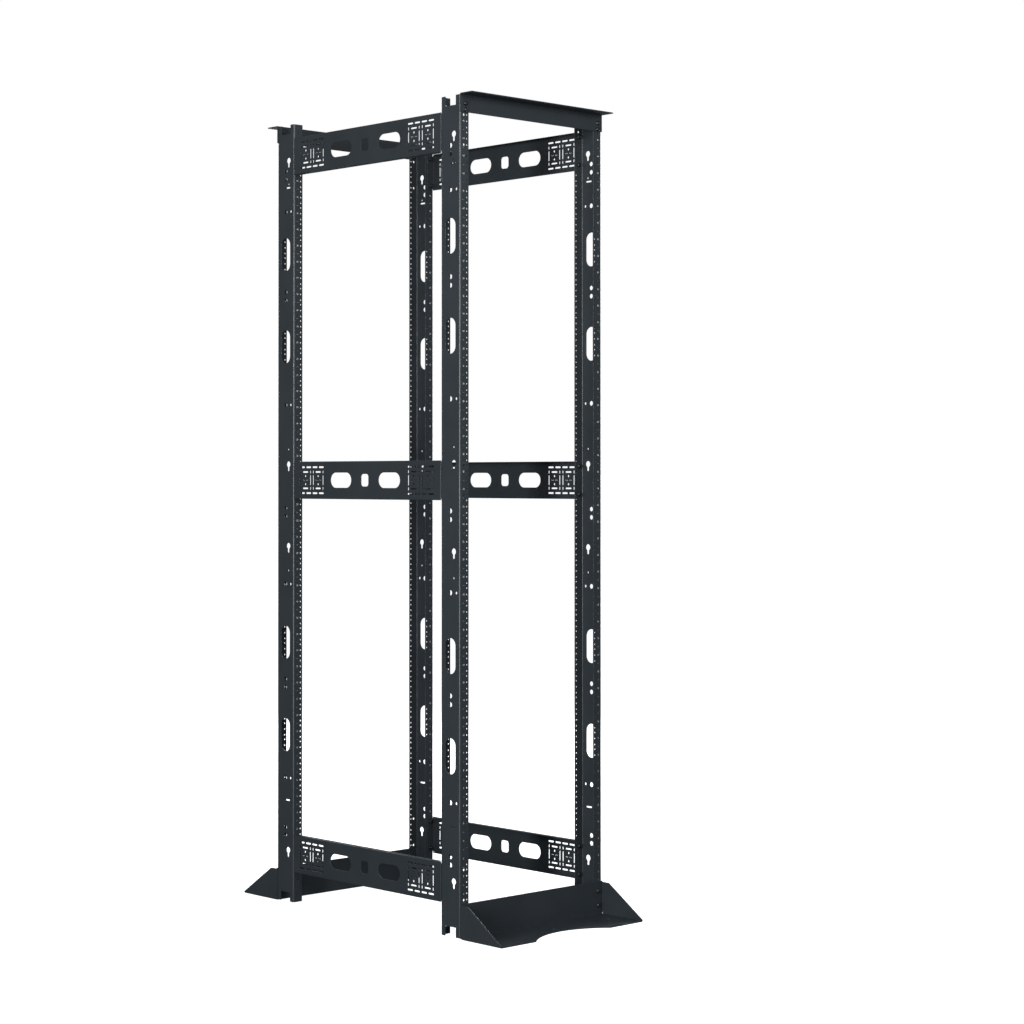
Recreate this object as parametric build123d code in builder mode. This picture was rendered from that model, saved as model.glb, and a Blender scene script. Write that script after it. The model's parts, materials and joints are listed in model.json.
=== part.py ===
from build123d import *
import os

# Four-post open-frame rack for 19-inch equipment, in millimetres.
# The origin is on the floor under the middle of the rack. -Y is the front, +X the right side, +Z is up.
# Four identical folded C-channel posts carry two L-angle headers, two folded feet and six perforated side
# braces. Every joint between them is a bolt, a washer under its head and a nut.

# ---- driving dimensions -------------------------------------------------------------------------------
rack_unit = 44.45                # height of one equipment unit
unit_count = 45                  # usable units
unit_holes = (6.35, 22.225, 38.1)  # hole heights inside each unit
hole_spacing = 465.1             # between the two vertical rows of equipment holes
rack_hole_r = 2.25               # equipment screw hole, tapping size of a 12-24 thread

frame_width = 514.35             # over the webs of the posts
frame_depth = 745.0              # over the outer flanges of the posts
post_length = 48 * rack_unit

post_web = 71.4                  # depth of a post, front to back
post_flange = 30.2
post_sheet = 2.4
bend_r = 4.4                     # outside radius of the posts' folds

header_reach = 44.45             # how far a header stands out from the posts
heavy_sheet = 3.0                # sheet of the headers and feet, under and over the posts' ends

foot_wall = 2 * rack_unit        # height of a foot's back wall
foot_reach = 150.0
gusset_top = 86.0
gusset_flat = 28.0
gusset_toe = 5.0
gusset_gap = 1.0                 # seam between a gusset and the back wall
relief_r = 3.0                   # hole at the foot of each seam
foot_fold_r = 4.0                # outside radius of the foot's folds
arch_chord = 269.0
arch_rise = 53.5
anchor_r = 7.0                   # floor anchor hole
anchor_reach = 75.0              # from the post's face to the anchor holes
anchor_x = 203.2

brace_height = 101.6
brace_sheet = 1.8
brace_lip = 15.0
brace_tab = 24.6
brace_fold_r = 1.5
brace_units = (("bottom", 1), ("middle", 24), ("top", 44))  # unit boundary that each brace is centred on
brace_bolt_inset = 14.3          # from the web's outer face
end_bolt_inset = 16.0            # the same, for the bolts of the headers and feet
foot_bolt_step = 38.1
brace_bolt_rise = 38.1           # above and below the brace's centre

bolt_r = 3.0
bolt_hole_r = 3.3
bolt_head_r = 5.6
bolt_head_rim = 1.1              # straight rim under the dome
bolt_head_height = 3.6
bolt_crown_r = 2.9               # flat top of the dome
bolt_dome_bulge = 0.6            # dome beyond the straight line from rim to crown
socket_across = 4.0              # hexagon socket, across flats
socket_depth = 2.2
bolt_tail = 2.5                  # thread that shows past the nut
nut_across = 10.0
nut_corner_drop = 1.2            # how far the nut's corners are turned down
nut_face_margin = 0.3            # between its flat end and the flats
washer_r = 6.2
washer_thickness = 1.2
nut_height = 5.0
chamfer_small = 0.5

# ---- places worked out from them ----------------------------------------------------------------------
half_width = frame_width / 2
half_depth = frame_depth / 2
post_bottom = heavy_sheet
post_top = post_bottom + post_length
frame_height = post_top + heavy_sheet
first_unit = post_bottom + 2 * rack_unit       # floor of the lowest unit
header_bottom = first_unit + unit_count * rack_unit
rack_hole_inset = half_width - hole_spacing / 2
brace_length = frame_depth - 2 * post_web
header_bolt_z = [header_bottom + h for h in unit_holes[:2]]
foot_bolt_z = [post_bottom + unit_holes[1], post_bottom + unit_holes[1] + foot_bolt_step]
end_bolt_x = half_width - end_bolt_inset
rack_hole_z = [first_unit + u * rack_unit + h for u in range(unit_count) for h in unit_holes]
brace_z = {level: first_unit + unit * rack_unit for level, unit in brace_units}
brace_bolt_z = [z + side * brace_bolt_rise for z in brace_z.values() for side in (-1, 1)]

# ---- hole pattern of a post's web ---------------------------------------------------------------------
# Heights are from the floor. "Inset" is the distance from the web's front edge on a left-hand post.
pattern_rise = 5.2               # of the pattern's centre above the floor of unit 24
pattern_z = first_unit + 23 * rack_unit + pattern_rise
slot_length, slot_width = 91.0, 38.1
slot_z = [pattern_z + side * rise for side in (-1, 1) for rise in (406.4, 660.4)]
service_hole_r = 6.3
service_hole_z = [184, 205, 590, 612, 1059, 1081, 1654, 1676, 1988, 2010]
pair_hole_r, pair_small_r, pair_small_inset = 6.5, 3.75, 14.0
pair_z = [pattern_z + side * rise for side in (-1, 1) for rise in (246.0, 778.0)]
keyhole_r, keyhole_slot_r, keyhole_drop, keyhole_inset = 8.5, 4.0, 15.0, 23.5
keyhole_z = [143.5, 978, 1202, 2038]
small_hole_r = 2.75
small_hole_z = [910.5, 1243, 1973]
dash_length, dash_width, dash_inset = 21.0, 4.5, 27.0
dash_z = [280.5, 1963.5]
notch_width, notch_depth = 40.6, 25.0

# ---- cut-outs of a brace, measured from its middle ----------------------------------------------------
window_length, window_height, window_offset = 86.5, 40.6, 98.8
centre_width, centre_height, centre_corner = 30.0, 33.0, 8.0
grid_columns = (175.0, 216.5, 228.5, 271.0)
module_centres = (196.0, 250.0)
grid_row = 22.2
edge_row = 35.2
edge_slots = [223.0 + step * 27.0 for step in (-1.5, -0.5, 0.5, 1.5)]
tie_slot = 4.2                   # width of the narrow slots
tall_slot, short_slot, flat_slot = 27.5, 8.5, 23.0  # lengths of the upright and level narrow slots
edge_slot_length, edge_slot_width = 21.5, 4.6
tie_hole_r = 3.0
tie_rise = 11.0
cluster_r = 1.6
cluster_offsets = (-9.5, -4.8, 4.8, 9.5)


def washer(radius, hole, height):
    """Flat ring standing on XY."""
    with BuildPart() as ring:
        with BuildSketch():
            Circle(radius)
            Circle(hole, mode=Mode.SUBTRACT)
        extrude(amount=height)
    return ring.part


def nut(across, hole, height):
    """Hexagon nut standing on XY, with its far corners turned down to a cone."""
    corner_r = across / 3 ** 0.5
    with BuildPart() as body:
        with BuildSketch():
            RegularPolygon(across / 2, 6, major_radius=False)
        extrude(amount=height)
        with BuildSketch(Plane.XZ):
            with BuildLine():
                Polyline(
                    (0, 0),
                    (corner_r, 0),
                    (corner_r, height - nut_corner_drop),
                    (across / 2 - nut_face_margin, height),
                    (0, height),
                    close=True,
                )
            make_face()
        revolve(axis=Axis.Z, mode=Mode.INTERSECT)
        with BuildSketch():
            Circle(hole)
        extrude(amount=height, mode=Mode.SUBTRACT)
    return body.part


def bolt(grip):
    """Button-head bolt along +Z: the head's bearing face is on XY and the shank passes the grip."""
    length = grip + nut_height + bolt_tail
    dome_r = (bolt_head_r + bolt_crown_r) / 2 + bolt_dome_bulge
    dome_z = -(bolt_head_rim + bolt_head_height) / 2 - bolt_dome_bulge
    with BuildPart() as body:
        with BuildSketch(Plane.XZ):
            with BuildLine():
                Line((0, 0), (bolt_head_r, 0))
                Line((bolt_head_r, 0), (bolt_head_r, -bolt_head_rim))
                ThreePointArc((bolt_head_r, -bolt_head_rim), (dome_r, dome_z), (bolt_crown_r, -bolt_head_height))
                Line((bolt_crown_r, -bolt_head_height), (0, -bolt_head_height))
                Line((0, -bolt_head_height), (0, 0))
            make_face()
        revolve(axis=Axis.Z)
        with BuildSketch(Plane.XY.offset(-bolt_head_height)):
            RegularPolygon(socket_across / 2, 6, major_radius=False)
        extrude(amount=socket_depth, mode=Mode.SUBTRACT)
        with BuildSketch():
            Circle(bolt_r)
        extrude(amount=length)
        chamfer(body.faces().sort_by(Axis.Z)[-1].edges(), chamfer_small)
    return body.part


def export(part, name):
    part.label = name
    export_step(part, f"parts/{name}.step")


def export_group(solids, name):
    """One node made of several separate solids, such as a set of bolts."""
    group = Compound(children=solids)
    group.label = name
    export_step(group, f"parts/{name}.step")


os.makedirs("parts", exist_ok=True)

# ---- post ---------------------------------------------------------------------------------------------
# Modelled as the front left post: its web is on the left and its flanges point towards the rack's middle.
front_y = -half_depth
back_y = front_y + post_web
left_x = -half_width

with BuildPart() as post:
    with BuildSketch(Plane.XY.offset(post_bottom)):
        with BuildLine():
            Polyline(
                (left_x + post_flange, front_y),
                (left_x, front_y),
                (left_x, back_y),
                (left_x + post_flange, back_y),
                (left_x + post_flange, back_y - post_sheet),
                (left_x + post_sheet, back_y - post_sheet),
                (left_x + post_sheet, front_y + post_sheet),
                (left_x + post_flange, front_y + post_sheet),
                close=True,
            )
        make_face()
    extrude(amount=post_length)
    folds = post.edges().filter_by(Axis.Z).group_by(Axis.X)
    fillet(folds[0], bend_r)
    fillet(folds[1], bend_r - post_sheet)

    # Through both flanges: the equipment holes, and the bolt holes of the feet, headers and braces.
    with BuildSketch(Plane.XZ.offset(-back_y)):
        with Locations(*[(left_x + rack_hole_inset, z) for z in rack_hole_z]):
            Circle(rack_hole_r)
        with Locations(*[(-end_bolt_x, z) for z in foot_bolt_z + header_bolt_z]):
            Circle(bolt_hole_r)
        with Locations(*[(left_x + brace_bolt_inset, z) for z in brace_bolt_z]):
            Circle(bolt_hole_r)
    extrude(amount=post_web, mode=Mode.SUBTRACT)

    # Web: obround cable slots, round service holes, keyholes, level marks and a notch at each end.
    web_plane = Plane.YZ.offset(left_x)
    web_middle = (front_y + back_y) / 2
    with BuildSketch(web_plane):
        with Locations(*[(web_middle, z) for z in slot_z]):
            SlotOverall(slot_length, slot_width, rotation=90)
        with Locations(*[(web_middle, z) for z in service_hole_z]):
            Circle(service_hole_r)
        with Locations(*[(web_middle, z) for z in pair_z]):
            Circle(pair_hole_r)
        with Locations(*[(front_y + pair_small_inset, z) for z in pair_z]):
            Circle(pair_small_r)
        with Locations(*[(front_y + keyhole_inset, z) for z in keyhole_z]):
            Circle(keyhole_r)
        with Locations(*[(front_y + keyhole_inset, z - keyhole_drop / 2) for z in keyhole_z]):
            SlotCenterToCenter(keyhole_drop, 2 * keyhole_slot_r, rotation=90)
        with Locations(*[(front_y + keyhole_inset, z) for z in small_hole_z]):
            Circle(small_hole_r)
        with Locations(*[(front_y + dash_inset, z) for z in dash_z]):
            SlotOverall(dash_length, dash_width)
        with Locations((web_middle, post_bottom + notch_depth / 2), (web_middle, post_top - notch_depth / 2)):
            Rectangle(notch_width, notch_depth)
    extrude(amount=post_sheet, mode=Mode.SUBTRACT)

# The rear posts face the same way as the front ones on their side. The right-hand ones are turned half round.
rear_step = frame_depth - post_web
post_places = {
    "post_front_left": Location((0, 0, 0)),
    "post_rear_left": Location((0, rear_step, 0)),
    "post_rear_right": Location((0, 0, 0), (0, 0, 180)),
    "post_front_right": Location((0, -rear_step, 0), (0, 0, 180)),
}
for name, place in post_places.items():
    with BuildPart() as placed_post:
        add(post.part.moved(place))
    export(placed_post.part, name)

# ---- header -------------------------------------------------------------------------------------------
# An L-angle: its leg lies on the front faces of the posts and its flange stands out at the very top.
with BuildPart() as header:
    with BuildSketch(Plane.YZ.offset(left_x)):
        with BuildLine():
            Polyline(
                (front_y, header_bottom),
                (front_y, frame_height),
                (front_y - header_reach, frame_height),
                (front_y - header_reach, frame_height - heavy_sheet),
                (front_y - heavy_sheet, frame_height - heavy_sheet),
                (front_y - heavy_sheet, header_bottom),
                close=True,
            )
        make_face()
    extrude(amount=frame_width)
    long_edges = header.edges().filter_by(Axis.X)
    fillet(long_edges.sort_by_distance((0, front_y, frame_height))[0], heavy_sheet + 1)
    fillet(long_edges.sort_by_distance((0, front_y - heavy_sheet, frame_height - heavy_sheet))[0], 1)
    with BuildSketch(Plane.XZ.offset(-front_y)):
        with Locations(*[(side * end_bolt_x, z) for side in (-1, 1) for z in header_bolt_z]):
            Circle(bolt_hole_r)
    extrude(amount=heavy_sheet, mode=Mode.SUBTRACT)

# ---- foot ---------------------------------------------------------------------------------------------
# A folded tray: base plate on the floor, back wall against the posts, and a sloped gusset at each end.
toe_y = front_y - foot_reach
seam_y = front_y - heavy_sheet - gusset_gap
with BuildPart() as foot:
    with BuildSketch():
        with BuildLine():
            Line((-half_width, toe_y), (-half_width, front_y))
            Line((-half_width, front_y), (half_width, front_y))
            Line((half_width, front_y), (half_width, toe_y))
            Line((half_width, toe_y), (arch_chord / 2, toe_y))
            ThreePointArc((arch_chord / 2, toe_y), (0, toe_y + arch_rise), (-arch_chord / 2, toe_y))
            Line((-arch_chord / 2, toe_y), (-half_width, toe_y))
        make_face()
    extrude(amount=heavy_sheet)
    with BuildSketch(Plane.XZ.offset(-front_y)):
        with Locations((0, foot_wall / 2)):
            Rectangle(frame_width, foot_wall)
    extrude(amount=heavy_sheet)
    for end_x in (-half_width, half_width - heavy_sheet):
        with BuildSketch(Plane.YZ.offset(end_x)):
            with BuildLine():
                Polyline(
                    (seam_y, 0),
                    (seam_y, gusset_top),
                    (front_y - gusset_flat, gusset_top),
                    (toe_y, gusset_toe),
                    (toe_y, 0),
                    close=True,
                )
            make_face()
        extrude(amount=heavy_sheet)

    # The outside of each fold is round where it meets the floor.
    with BuildSketch(Plane.XZ.offset(-front_y)):
        for side in (-1, 1):
            with Locations((side * (half_width - foot_fold_r / 2), foot_fold_r / 2)):
                Rectangle(foot_fold_r, foot_fold_r)
            with Locations((side * (half_width - foot_fold_r), foot_fold_r)):
                Circle(foot_fold_r, mode=Mode.SUBTRACT)
    extrude(amount=foot_reach, mode=Mode.SUBTRACT)
    with BuildSketch(Plane.YZ.offset(-half_width)):
        with Locations((front_y - foot_fold_r / 2, foot_fold_r / 2)):
            Rectangle(foot_fold_r, foot_fold_r)
        with Locations((front_y - foot_fold_r, foot_fold_r)):
            Circle(foot_fold_r, mode=Mode.SUBTRACT)
    extrude(amount=frame_width, mode=Mode.SUBTRACT)
    with BuildSketch():
        with Locations((-anchor_x, front_y - anchor_reach), (0, front_y - anchor_reach),
                       (anchor_x, front_y - anchor_reach)):
            Circle(anchor_r)
        with Locations((-half_width + heavy_sheet, seam_y + gusset_gap / 2),
                       (half_width - heavy_sheet, seam_y + gusset_gap / 2)):
            Circle(relief_r)
    extrude(amount=2 * heavy_sheet, mode=Mode.SUBTRACT)
    with BuildSketch(Plane.XZ.offset(-front_y)):
        with Locations(*[(side * end_bolt_x, z) for side in (-1, 1) for z in foot_bolt_z]):
            Circle(bolt_hole_r)
    extrude(amount=heavy_sheet, mode=Mode.SUBTRACT)

turned = Location((0, 0, 0), (0, 0, 180))
for name, piece in (("header", header), ("foot", foot)):
    for end, place in (("front", Location((0, 0, 0))), ("rear", turned)):
        with BuildPart() as placed:
            add(piece.part.moved(place))
        export(placed.part, f"{name}_{end}")

# ---- brace --------------------------------------------------------------------------------------------
# Modelled as the left-hand brace at height 0: plate in the plane of the webs, everything else folded inwards.
half_brace = brace_length / 2
half_height = brace_height / 2
with BuildPart() as brace:
    with BuildSketch(Plane.YZ.offset(left_x)):
        Rectangle(brace_length, brace_height)
    extrude(amount=brace_sheet)
    with BuildSketch(Plane.YZ.offset(left_x)):
        with Locations((0, half_height - brace_sheet / 2), (0, -half_height + brace_sheet / 2)):
            Rectangle(brace_length - 2 * brace_lip, brace_sheet)
    extrude(amount=brace_lip)
    with BuildSketch(Plane.YZ.offset(left_x)):
        with Locations((half_brace - brace_sheet / 2, 0), (-half_brace + brace_sheet / 2, 0)):
            Rectangle(brace_sheet, brace_height - 4 * brace_sheet)
    extrude(amount=brace_tab)
    outer = brace.faces().sort_by(Axis.X)[0]
    fillet(outer.edges(), brace_fold_r)

    # Tab bolt holes.
    with BuildSketch(Plane.XZ.offset(-half_brace)):
        with Locations(*[(left_x + brace_bolt_inset, side * brace_bolt_rise) for side in (-1, 1)]):
            Circle(bolt_hole_r)
    extrude(amount=brace_length, mode=Mode.SUBTRACT)

    # Cable windows, centre cut-out and the two grids of cable-tie slots.
    with BuildSketch(Plane.YZ.offset(left_x)):
        with Locations((-window_offset, 0), (window_offset, 0)):
            SlotOverall(window_length, window_height)
        RectangleRounded(centre_width, centre_height, centre_corner)
        for end in (-1, 1):
            with Locations(*[(end * column, 0) for column in grid_columns]):
                SlotOverall(tall_slot, tie_slot, rotation=90)
            with Locations(*[(end * column, row) for column in grid_columns for row in (-grid_row, grid_row)]):
                SlotOverall(short_slot, tie_slot, rotation=90)
            with Locations(*[(end * centre, row) for centre in module_centres for row in (-grid_row, grid_row)]):
                SlotOverall(flat_slot, tie_slot)
            with Locations(*[(end * centre, row) for centre in module_centres for row in (-tie_rise, tie_rise)]):
                Circle(tie_hole_r)
            with Locations(*[(end * centre + offset, 0)
                             for centre in module_centres for offset in cluster_offsets]):
                Circle(cluster_r)
            with Locations(*[(end * place, row) for place in edge_slots for row in (-edge_row, edge_row)]):
                SlotOverall(edge_slot_length, edge_slot_width)
    extrude(amount=brace_sheet, mode=Mode.SUBTRACT)

for level, height in brace_z.items():
    for side, place in (("left", Location((0, 0, height))), ("right", Location((0, 0, height), (0, 0, 180)))):
        with BuildPart() as placed_brace:
            add(brace.part.moved(place))
        export(placed_brace.part, f"brace_{side}_{level}")

# ---- fasteners ----------------------------------------------------------------------------------------


def fastener_group(name, seats, grip):
    """Bolts, washers and nuts at each seat: a plane on the head's side whose normal is the bolt's direction."""
    bolt_solid = bolt(grip + washer_thickness)
    washer_solid = washer(washer_r, bolt_hole_r, washer_thickness)
    nut_solid = nut(nut_across, bolt_r, nut_height)
    bolts, washers, nuts = [], [], []
    for seat in seats:
        raised = seat.offset(-washer_thickness)
        bolts.append(bolt_solid.moved(raised.location))
        washers.append(washer_solid.moved(raised.location))
        nuts.append(nut_solid.moved(seat.offset(grip).location))
    for kind, solids in (("bolts", bolts), ("washers", washers), ("nuts", nuts)):
        export_group(solids, f"{name}_{kind}")


# Headers and feet: heads outside, nuts inside the posts' channels.
outer_grip = heavy_sheet + post_sheet
for end, direction in (("front", 1), ("rear", -1)):
    seat_y = -direction * (half_depth + heavy_sheet)
    for name, heights in (("header", header_bolt_z), ("foot", foot_bolt_z)):
        seats = [Plane(origin=(side * end_bolt_x, seat_y, z), z_dir=(0, direction, 0))
                 for side in (-1, 1) for z in heights]
        fastener_group(f"{name}_{end}", seats, outer_grip)

# Braces: heads inside the posts' channels, nuts on the tabs.
for level, height in brace_z.items():
    for side, sign in (("left", -1), ("right", 1)):
        seat_x = sign * (half_width - brace_bolt_inset)
        seats = [Plane(origin=(seat_x, -direction * (half_brace + post_sheet), height + rise),
                       z_dir=(0, direction, 0))
                 for direction in (1, -1) for rise in (-brace_bolt_rise, brace_bolt_rise)]
        fastener_group(f"brace_{side}_{level}", seats, post_sheet + brace_sheet)
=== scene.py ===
import json
import math

import bpy
from mathutils import Matrix, Vector


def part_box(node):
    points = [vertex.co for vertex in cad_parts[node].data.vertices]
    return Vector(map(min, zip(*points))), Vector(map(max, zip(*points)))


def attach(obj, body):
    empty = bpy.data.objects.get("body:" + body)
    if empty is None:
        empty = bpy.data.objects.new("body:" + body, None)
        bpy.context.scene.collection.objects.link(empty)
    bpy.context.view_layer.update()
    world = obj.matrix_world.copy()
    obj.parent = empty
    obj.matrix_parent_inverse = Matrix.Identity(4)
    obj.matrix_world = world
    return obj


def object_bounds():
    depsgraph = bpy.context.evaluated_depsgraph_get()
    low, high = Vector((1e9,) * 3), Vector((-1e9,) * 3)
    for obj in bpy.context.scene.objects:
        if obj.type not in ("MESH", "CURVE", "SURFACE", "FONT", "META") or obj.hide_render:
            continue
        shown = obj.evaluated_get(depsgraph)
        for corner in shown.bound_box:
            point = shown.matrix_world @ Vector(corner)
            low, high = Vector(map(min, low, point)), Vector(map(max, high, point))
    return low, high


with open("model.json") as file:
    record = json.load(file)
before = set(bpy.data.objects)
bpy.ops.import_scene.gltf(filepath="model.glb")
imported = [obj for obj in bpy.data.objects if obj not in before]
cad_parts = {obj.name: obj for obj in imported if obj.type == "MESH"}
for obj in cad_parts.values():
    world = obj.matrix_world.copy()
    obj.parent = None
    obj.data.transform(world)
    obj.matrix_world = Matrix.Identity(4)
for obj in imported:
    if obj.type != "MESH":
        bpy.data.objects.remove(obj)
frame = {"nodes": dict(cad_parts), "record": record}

cad_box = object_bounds()
record = frame["record"]
nodes = frame["nodes"]

# Everything is in metres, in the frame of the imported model: the rack stands on z = 0 and faces -Y.
MM = 0.001
RACK_UNIT = 44.45 * MM
mounts = {mount["name"]: mount for mount in record["mounts"]}
lowest_unit_z = mounts["front_rail_lowest_unit"]["pos_m"][2]
highest_unit_z = mounts["front_rail_highest_unit"]["pos_m"][2]


# ---- materials ----------------------------------------------------------------------------------


class Surface:
    """A procedural material, with short calls to add and join its nodes."""

    def __init__(self, name):
        self.material = bpy.data.materials.new(name)
        self.material.use_nodes = True
        self.tree = self.material.node_tree
        self.shader = self.tree.nodes["Principled BSDF"]
        self.place = self.add("ShaderNodeTexCoord").outputs["Object"]

    def add(self, kind, **settings):
        """New node. A setting is a property of the node, or else one of its inputs."""
        node = self.tree.nodes.new(kind)
        for key, value in settings.items():
            if hasattr(node, key):
                setattr(node, key, value)
            else:
                node.inputs[key].default_value = value
        return node

    def link(self, source, target):
        self.tree.links.new(source, target)

    def drive(self, socket, source):
        self.link(source, self.shader.inputs[socket])

    def noise(self, scale, detail, roughness):
        node = self.add("ShaderNodeTexNoise", Scale=scale, Detail=detail, Roughness=roughness)
        self.link(self.place, node.inputs["Vector"])
        return node.outputs["Fac"]

    def ramp(self, factor, *stops):
        node = self.add("ShaderNodeValToRGB")
        for element, (position, colour) in zip(node.color_ramp.elements, stops):
            element.position = position
            element.color = (*colour, 1.0)
        self.link(factor, node.inputs["Fac"])
        return node.outputs["Color"]

    def spread(self, factor, low, high, from_low=0.0, from_high=1.0):
        node = self.add("ShaderNodeMapRange")
        ends = {"From Min": from_low, "From Max": from_high, "To Min": low, "To Max": high}
        for key, value in ends.items():
            node.inputs[key].default_value = value
        self.link(factor, node.inputs["Value"])
        return node.outputs["Result"]

    def mix(self, factor, a, b):
        node = self.add("ShaderNodeMix", data_type="RGBA")
        self.link(factor, node.inputs["Factor"])
        self.link(a, node.inputs["A"])
        self.link(b, node.inputs["B"])
        return node.outputs["Result"]

    def times(self, a, b):
        node = self.add("ShaderNodeMath", operation="MULTIPLY")
        self.link(a, node.inputs[0])
        self.link(b, node.inputs[1])
        return node.outputs["Value"]

    def bump(self, height, strength, distance, normal=None):
        node = self.add("ShaderNodeBump", Strength=strength, Distance=distance)
        self.link(height, node.inputs["Height"])
        if normal is not None:
            self.link(normal, node.inputs["Normal"])
        return node.outputs["Normal"]

    def soft_edges(self, radius):
        """A mask that is 1 along edges and 0 on flat faces, and the normal with rounded edges."""
        rounded = self.add("ShaderNodeBevel", samples=6, Radius=radius)
        geometry = self.add("ShaderNodeNewGeometry")
        agreement = self.add("ShaderNodeVectorMath", operation="DOT_PRODUCT")
        self.link(rounded.outputs["Normal"], agreement.inputs[0])
        self.link(geometry.outputs["Normal"], agreement.inputs[1])
        mask = self.spread(agreement.outputs["Value"], 1.0, 0.0, 0.80, 0.99)
        return mask, rounded.outputs["Normal"]


COAT_DARK = (0.021, 0.027, 0.031)
COAT_LIGHT = (0.031, 0.038, 0.044)
COAT_RUBBED = (0.070, 0.077, 0.083)
COAT_EDGE = 0.9 * MM              # width of the soft, rubbed edges
CLOUD_SCALE = 9.0                 # noise scales: the larger, the finer
RUB_SCALE = 60.0
PEEL_SCALE = 450.0
GRAIN_SCALE = 1400.0
PEEL_DEPTH = 0.20 * MM
GRAIN_DEPTH = 0.05 * MM
ZINC_EDGE = 0.5 * MM
ZINC_SCALE = 180.0
ZINC_DEPTH = 0.05 * MM
INK_SCALE = 900.0
INK_DEPTH = 0.02 * MM
PAPER_SCALE = 3.0


def powder_coat(name, tone):
    """Baked-on black powder coat: orange peel, fine grain, faint cloudy tone and rubbed edges. The
    tone argument scales all its colours down as painted shade.
    """
    dark, light, rubbed = ([part * tone for part in colour]
                           for colour in (COAT_DARK, COAT_LIGHT, COAT_RUBBED))
    coat = Surface(name)
    cloud = coat.noise(CLOUD_SCALE, 4.0, 0.55)
    grain = coat.noise(GRAIN_SCALE, 3.0, 0.6)
    peel = coat.noise(PEEL_SCALE, 2.0, 0.5)
    body = coat.mix(
        coat.spread(cloud, 0.35, 0.5),
        coat.ramp(cloud, (0.30, dark), (0.70, light)),
        coat.ramp(grain, (0.30, dark), (0.75, light)),
    )
    edge, rounded = coat.soft_edges(COAT_EDGE)
    patchy = coat.spread(coat.noise(RUB_SCALE, 3.0, 0.6), 0.1, 1.0, 0.35, 0.65)
    worn = coat.ramp(grain, (0.2, light), (0.8, rubbed))
    coat.drive("Base Color", coat.mix(coat.times(edge, patchy), body, worn))
    coat.drive("Roughness", coat.spread(grain, 0.26, 0.42))
    fine = coat.bump(grain, 0.25, GRAIN_DEPTH, rounded)
    coat.drive("Normal", coat.bump(peel, 0.5, PEEL_DEPTH, fine))
    return coat.material


def black_zinc(name):
    """Blackened zinc plating: a metal with patchy roughness and brighter corners, a painted
    highlight.
    """
    zinc = Surface(name)
    patch = zinc.noise(ZINC_SCALE, 4.0, 0.6)
    plating = zinc.ramp(patch, (0.3, (0.045, 0.046, 0.050)), (0.7, (0.085, 0.087, 0.092)))
    # Painted highlight: a brighter colour along the edges and corners stands in for glints.
    painted_edge_highlight = zinc.ramp(patch, (0.2, (0.12, 0.12, 0.125)), (0.8, (0.22, 0.22, 0.225)))
    edge, rounded = zinc.soft_edges(ZINC_EDGE)
    # The edge mask mixes in the painted highlight on every edge.
    zinc.drive("Base Color", zinc.mix(edge, plating, painted_edge_highlight))
    zinc.drive("Roughness", zinc.spread(patch, 0.28, 0.46))
    zinc.drive("Normal", zinc.bump(patch, 0.12, ZINC_DEPTH, rounded))
    zinc.shader.inputs["Metallic"].default_value = 0.9
    return zinc.material


def printed_ink(name):
    """Pale screen-printed ink with slightly uneven cover."""
    ink = Surface(name)
    cover = ink.noise(INK_SCALE, 3.0, 0.6)
    thin, full = (0.46, 0.47, 0.48), (0.64, 0.65, 0.66)
    ink.drive("Base Color", ink.ramp(cover, (0.25, thin), (0.6, full)))
    ink.drive("Roughness", ink.spread(cover, 0.5, 0.7))
    ink.drive("Normal", ink.bump(cover, 0.1, INK_DEPTH))
    return ink.material


def lit_paper(name, glow):
    """White seamless paper, lit from below, with the faintest mottling."""
    paper = Surface(name)
    mottle = paper.noise(PAPER_SCALE, 3.0, 0.5)
    shade, white = (0.86, 0.86, 0.86), (0.90, 0.90, 0.90)
    paper.drive("Base Color", paper.ramp(mottle, (0.0, shade), (1.0, white)))
    paper.drive("Roughness", paper.spread(mottle, 0.85, 0.95))
    paper.shader.inputs["Emission Color"].default_value = (1.0, 1.0, 1.0, 1.0)
    paper.shader.inputs["Emission Strength"].default_value = glow
    return paper.material


def give(piece, material):
    piece.data.materials.clear()
    piece.data.materials.append(material)


# Tones below 1 are painted shade: darker copies of the one coat for the brace, header and foot.
coats = {
    "post": powder_coat("post_powder_coat", 1.0),
    "brace": powder_coat("brace_powder_coat", 0.93),
    "header": powder_coat("header_powder_coat", 0.86),
    "foot": powder_coat("foot_powder_coat", 0.95),
}
zinc_plating = black_zinc("black_zinc_plating")
pale_ink = printed_ink("pale_printed_ink")

for node_name, node in nodes.items():
    if node_name.endswith(("_bolts", "_washers", "_nuts")):
        give(node, zinc_plating)
    else:
        give(node, coats[node_name.split("_")[0]])


# ---- printed unit numbers -----------------------------------------------------------------------
# Each post carries the numbers 1 to 45 on the outer face of both flanges, between web and holes.

DIGIT_HEIGHT = 4.4 * MM
DIGIT_SHARE = 0.7                 # of the font size that a digit takes up
DIGIT_BOLDNESS = 0.012            # of the font size, added all round
INK_THICKNESS = 0.08 * MM
NUMBER_INSET = 12.7 * MM          # from the web's outer face to the middle of a number
LINE_LENGTH = 5.0 * MM            # the line at each unit's floor
LINE_WIDTH = 0.35 * MM

BOX_FACES = ((0, 1, 3, 2), (4, 6, 7, 5), (0, 4, 5, 1), (2, 3, 7, 6), (0, 2, 6, 4), (1, 5, 7, 3))


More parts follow.
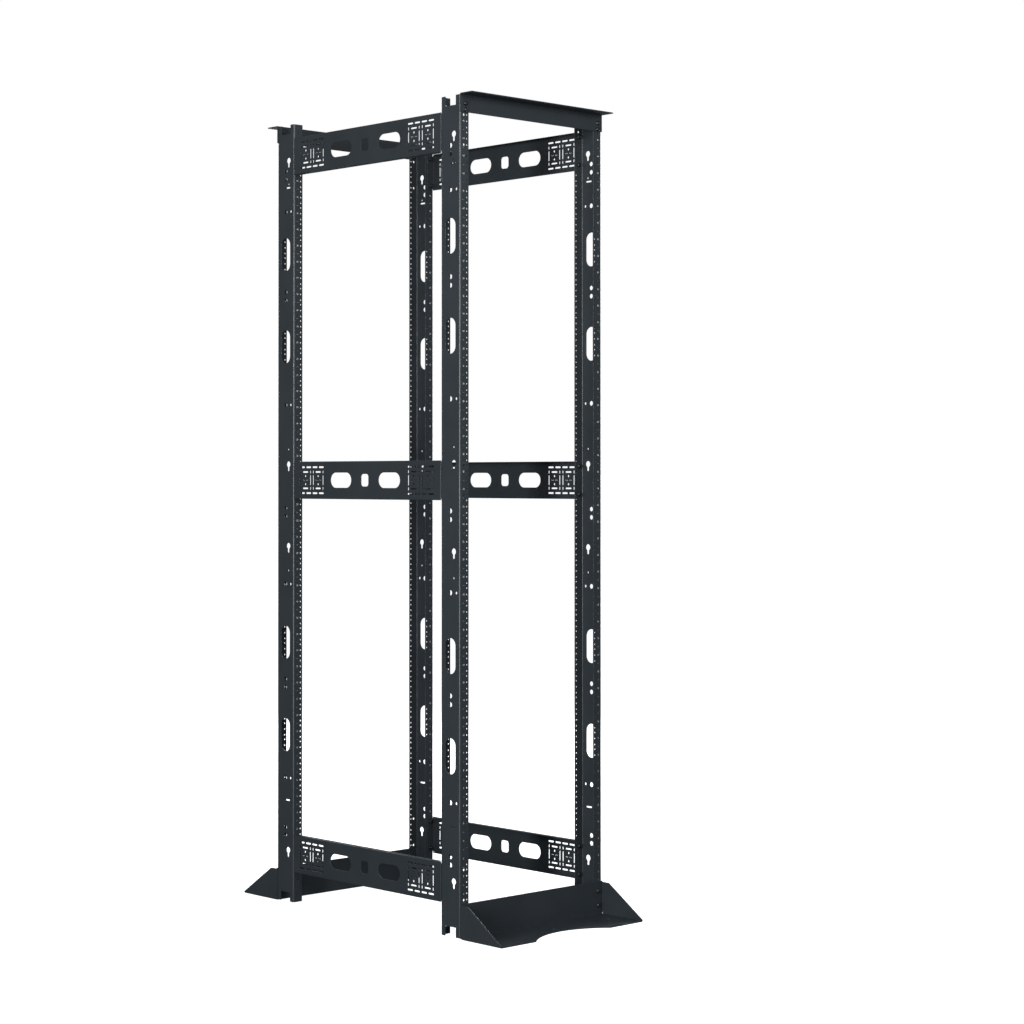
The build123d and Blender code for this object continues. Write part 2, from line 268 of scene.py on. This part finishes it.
def number_shape(text):
    """Points and faces of a number in the XY plane, centred on the origin, facing +Z."""
    curve = bpy.data.curves.new("number", "FONT")
    curve.body = text
    curve.size = DIGIT_HEIGHT / DIGIT_SHARE
    curve.align_x = "CENTER"
    curve.align_y = "CENTER"
    curve.extrude = INK_THICKNESS / 2
    curve.offset = curve.size * DIGIT_BOLDNESS
    curve.resolution_u = 2
    holder = bpy.data.objects.new("number", curve)
    bpy.context.scene.collection.objects.link(holder)
    bpy.context.view_layer.update()
    solid = holder.evaluated_get(bpy.context.evaluated_depsgraph_get())
    mesh = bpy.data.meshes.new_from_object(solid)
    shape = [v.co.copy() for v in mesh.vertices], [tuple(p.vertices) for p in mesh.polygons]
    bpy.data.objects.remove(holder)
    bpy.data.curves.remove(curve)
    bpy.data.meshes.remove(mesh)
    return shape


def line_shape():
    """Points and faces of a unit line, in the same plane as a number."""
    halves = (LINE_LENGTH / 2, LINE_WIDTH / 2, INK_THICKNESS / 2)
    signs = [(x, y, z) for x in (-1, 1) for y in (-1, 1) for z in (-1, 1)]
    return [Vector([s * half for s, half in zip(sign, halves)]) for sign in signs], BOX_FACES


def print_unit_numbers(post_name, numbers, line):
    """Numbers and unit lines on both flanges of one post, as one piece."""
    low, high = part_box(post_name)
    x = low.x + NUMBER_INSET if post_name.endswith("left") else high.x - NUMBER_INSET
    vertices, faces = [], []

    def print_shape(shape, place):
        start = len(vertices)
        vertices.extend(place @ point for point in shape[0])
        faces.extend(tuple(start + index for index in face) for face in shape[1])

    upright = Matrix.Rotation(math.radians(90), 4, "X")
    half_turn = Matrix.Rotation(math.radians(180), 4, "Z")
    flanges = (
        (low.y - INK_THICKNESS / 2, upright),
        (high.y + INK_THICKNESS / 2, half_turn @ upright),
    )
    for y, turn in flanges:
        for unit, number in enumerate(numbers):
            z = lowest_unit_z + unit * RACK_UNIT
            print_shape(number, Matrix.Translation((x, y, z)) @ turn)
            print_shape(line, Matrix.Translation((x, y, z - RACK_UNIT / 2)) @ turn)
    mesh = bpy.data.meshes.new(f"unit_numbers_{post_name}")
    mesh.from_pydata([tuple(vertex) for vertex in vertices], [], faces)
    mesh.validate()
    piece = bpy.data.objects.new(mesh.name, mesh)
    bpy.context.scene.collection.objects.link(piece)
    give(piece, pale_ink)
    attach(piece, "root")


unit_count = round((highest_unit_z - lowest_unit_z) / RACK_UNIT) + 1
number_shapes = [number_shape(str(unit + 1)) for unit in range(unit_count)]
for post in ("post_front_left", "post_front_right", "post_rear_left", "post_rear_right"):
    print_unit_numbers(post, number_shapes, line_shape())


# ---- camera -------------------------------------------------------------------------------------

PICTURE = 1024
FOCAL = 2301.4                    # in pixels of that picture
CENTRE = (461.6, 454.2)           # where the line of sight crosses it
SENSOR = 36.0
HEADING = math.radians(42.605)    # clockwise from +Y
LOOK_UP = math.radians(0.6)
EYE_HEIGHT = 1.1638
CORNER_DISTANCE = 5.815           # along the heading, from the eye to the near corner of the rack
CORNER_OFFSET = -0.0044           # across it

near_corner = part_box("post_front_left")[0]
forward = Vector((math.sin(HEADING), math.cos(HEADING), 0))
across = Vector((math.cos(HEADING), -math.sin(HEADING), 0))
camera_data = bpy.data.cameras.new("camera")
camera_data.sensor_width = SENSOR
camera_data.lens = FOCAL * SENSOR / PICTURE
camera_data.shift_x = (PICTURE / 2 - CENTRE[0]) / PICTURE
camera_data.shift_y = (CENTRE[1] - PICTURE / 2) / PICTURE
camera = bpy.data.objects.new("camera", camera_data)
camera.location = near_corner - CORNER_DISTANCE * forward - CORNER_OFFSET * across
camera.location.z = EYE_HEIGHT
camera.rotation_euler = (math.radians(90) + LOOK_UP, 0, -HEADING)
bpy.context.scene.collection.objects.link(camera)
bpy.context.scene.camera = camera


# ---- floor, surround and lamps ------------------------------------------------------------------

FLOOR_HALF = 30.0
FLOOR_GLOW = 0.87                 # makes the floor as pale as the backdrop
BACKDROP = 1.0
FLOOR_DROP = 0.5 * MM             # keeps the floor clear of the feet

corners = [(x * FLOOR_HALF, y * FLOOR_HALF, 0) for x, y in ((-1, -1), (1, -1), (1, 1), (-1, 1))]
floor_mesh = bpy.data.meshes.new("studio_floor")
floor_mesh.from_pydata(corners, [], [(0, 1, 2, 3)])
floor = bpy.data.objects.new("studio_floor", floor_mesh)
floor.location.z = cad_box[0][2] - FLOOR_DROP
floor.visible_diffuse = False
floor.visible_glossy = False
bpy.context.scene.collection.objects.link(floor)
give(floor, lit_paper("lit_seamless_paper", FLOOR_GLOW))

SURROUND_TINT = (0.90, 0.99, 1.10)
SURROUND = ((0.40, 0.065), (0.50, 0.11), (0.60, 0.22))    # brightness from nadir (0) to zenith (1)


def studio_world(name, backdrop, stops):
    """White backdrop for the camera. The object sees a dim, cool surround, lighter above."""
    world = bpy.data.worlds.new(name)
    world.use_nodes = True
    tree = world.node_tree
    place = tree.nodes.new("ShaderNodeTexCoord")
    split = tree.nodes.new("ShaderNodeSeparateXYZ")
    tree.links.new(place.outputs["Generated"], split.inputs["Vector"])
    height = tree.nodes.new("ShaderNodeMapRange")
    height.inputs["From Min"].default_value = -1.0
    tree.links.new(split.outputs["Z"], height.inputs["Value"])
    shade = tree.nodes.new("ShaderNodeValToRGB")
    while len(shade.color_ramp.elements) < len(stops):
        shade.color_ramp.elements.new(0.5)
    for element, (position, value) in zip(shade.color_ramp.elements, stops):
        element.position = position
        element.color = (*(value * part for part in SURROUND_TINT), 1.0)
    tree.links.new(height.outputs["Result"], shade.inputs["Fac"])
    surround = tree.nodes["Background"]
    tree.links.new(shade.outputs["Color"], surround.inputs["Color"])
    white = tree.nodes.new("ShaderNodeBackground")
    white.inputs["Color"].default_value = (1.0, 1.0, 1.0, 1.0)
    white.inputs["Strength"].default_value = backdrop
    path = tree.nodes.new("ShaderNodeLightPath")
    choose = tree.nodes.new("ShaderNodeMixShader")
    tree.links.new(path.outputs["Is Camera Ray"], choose.inputs["Fac"])
    tree.links.new(surround.outputs["Background"], choose.inputs[1])
    tree.links.new(white.outputs["Background"], choose.inputs[2])
    tree.links.new(choose.outputs["Shader"], tree.nodes["World Output"].inputs["Surface"])
    bpy.context.scene.world = world


studio_world("studio", BACKDROP, SURROUND)

SOFTBOXES = (
    # name, azimuth clockwise from +Y, distance, height, (width, height), power, height aimed at
    ("tall_strip_left", 248.0, 6.0, 1.35, (0.6, 2.8), 285, 1.1),
    ("near_front_left", 212.0, 2.6, 2.3, (1.0, 1.4), 30, 1.5),
    ("high_front", 176.0, 4.5, 2.7, (1.6, 1.6), 44, 1.0),
    ("tall_behind_right", 70.0, 5.0, 1.6, (1.4, 3.2), 130, 1.0),
    ("tall_behind", 22.0, 5.0, 1.6, (1.2, 2.8), 70, 1.0),
)
for name, azimuth, distance, height, (width, tall), power, aim in SOFTBOXES:
    lamp = bpy.data.lights.new(name, "AREA")
    lamp.shape = "RECTANGLE"
    lamp.size = width
    lamp.size_y = tall
    lamp.energy = power
    softbox = bpy.data.objects.new(name, lamp)
    turn = math.radians(azimuth)
    softbox.location = (distance * math.sin(turn), distance * math.cos(turn), height)
    sight = Vector((0.0, 0.0, aim)) - softbox.location
    softbox.rotation_euler = sight.to_track_quat("-Z", "Y").to_euler()
    softbox.visible_camera = False
    bpy.context.scene.collection.objects.link(softbox)

bpy.context.scene.view_settings.view_transform = "Standard"
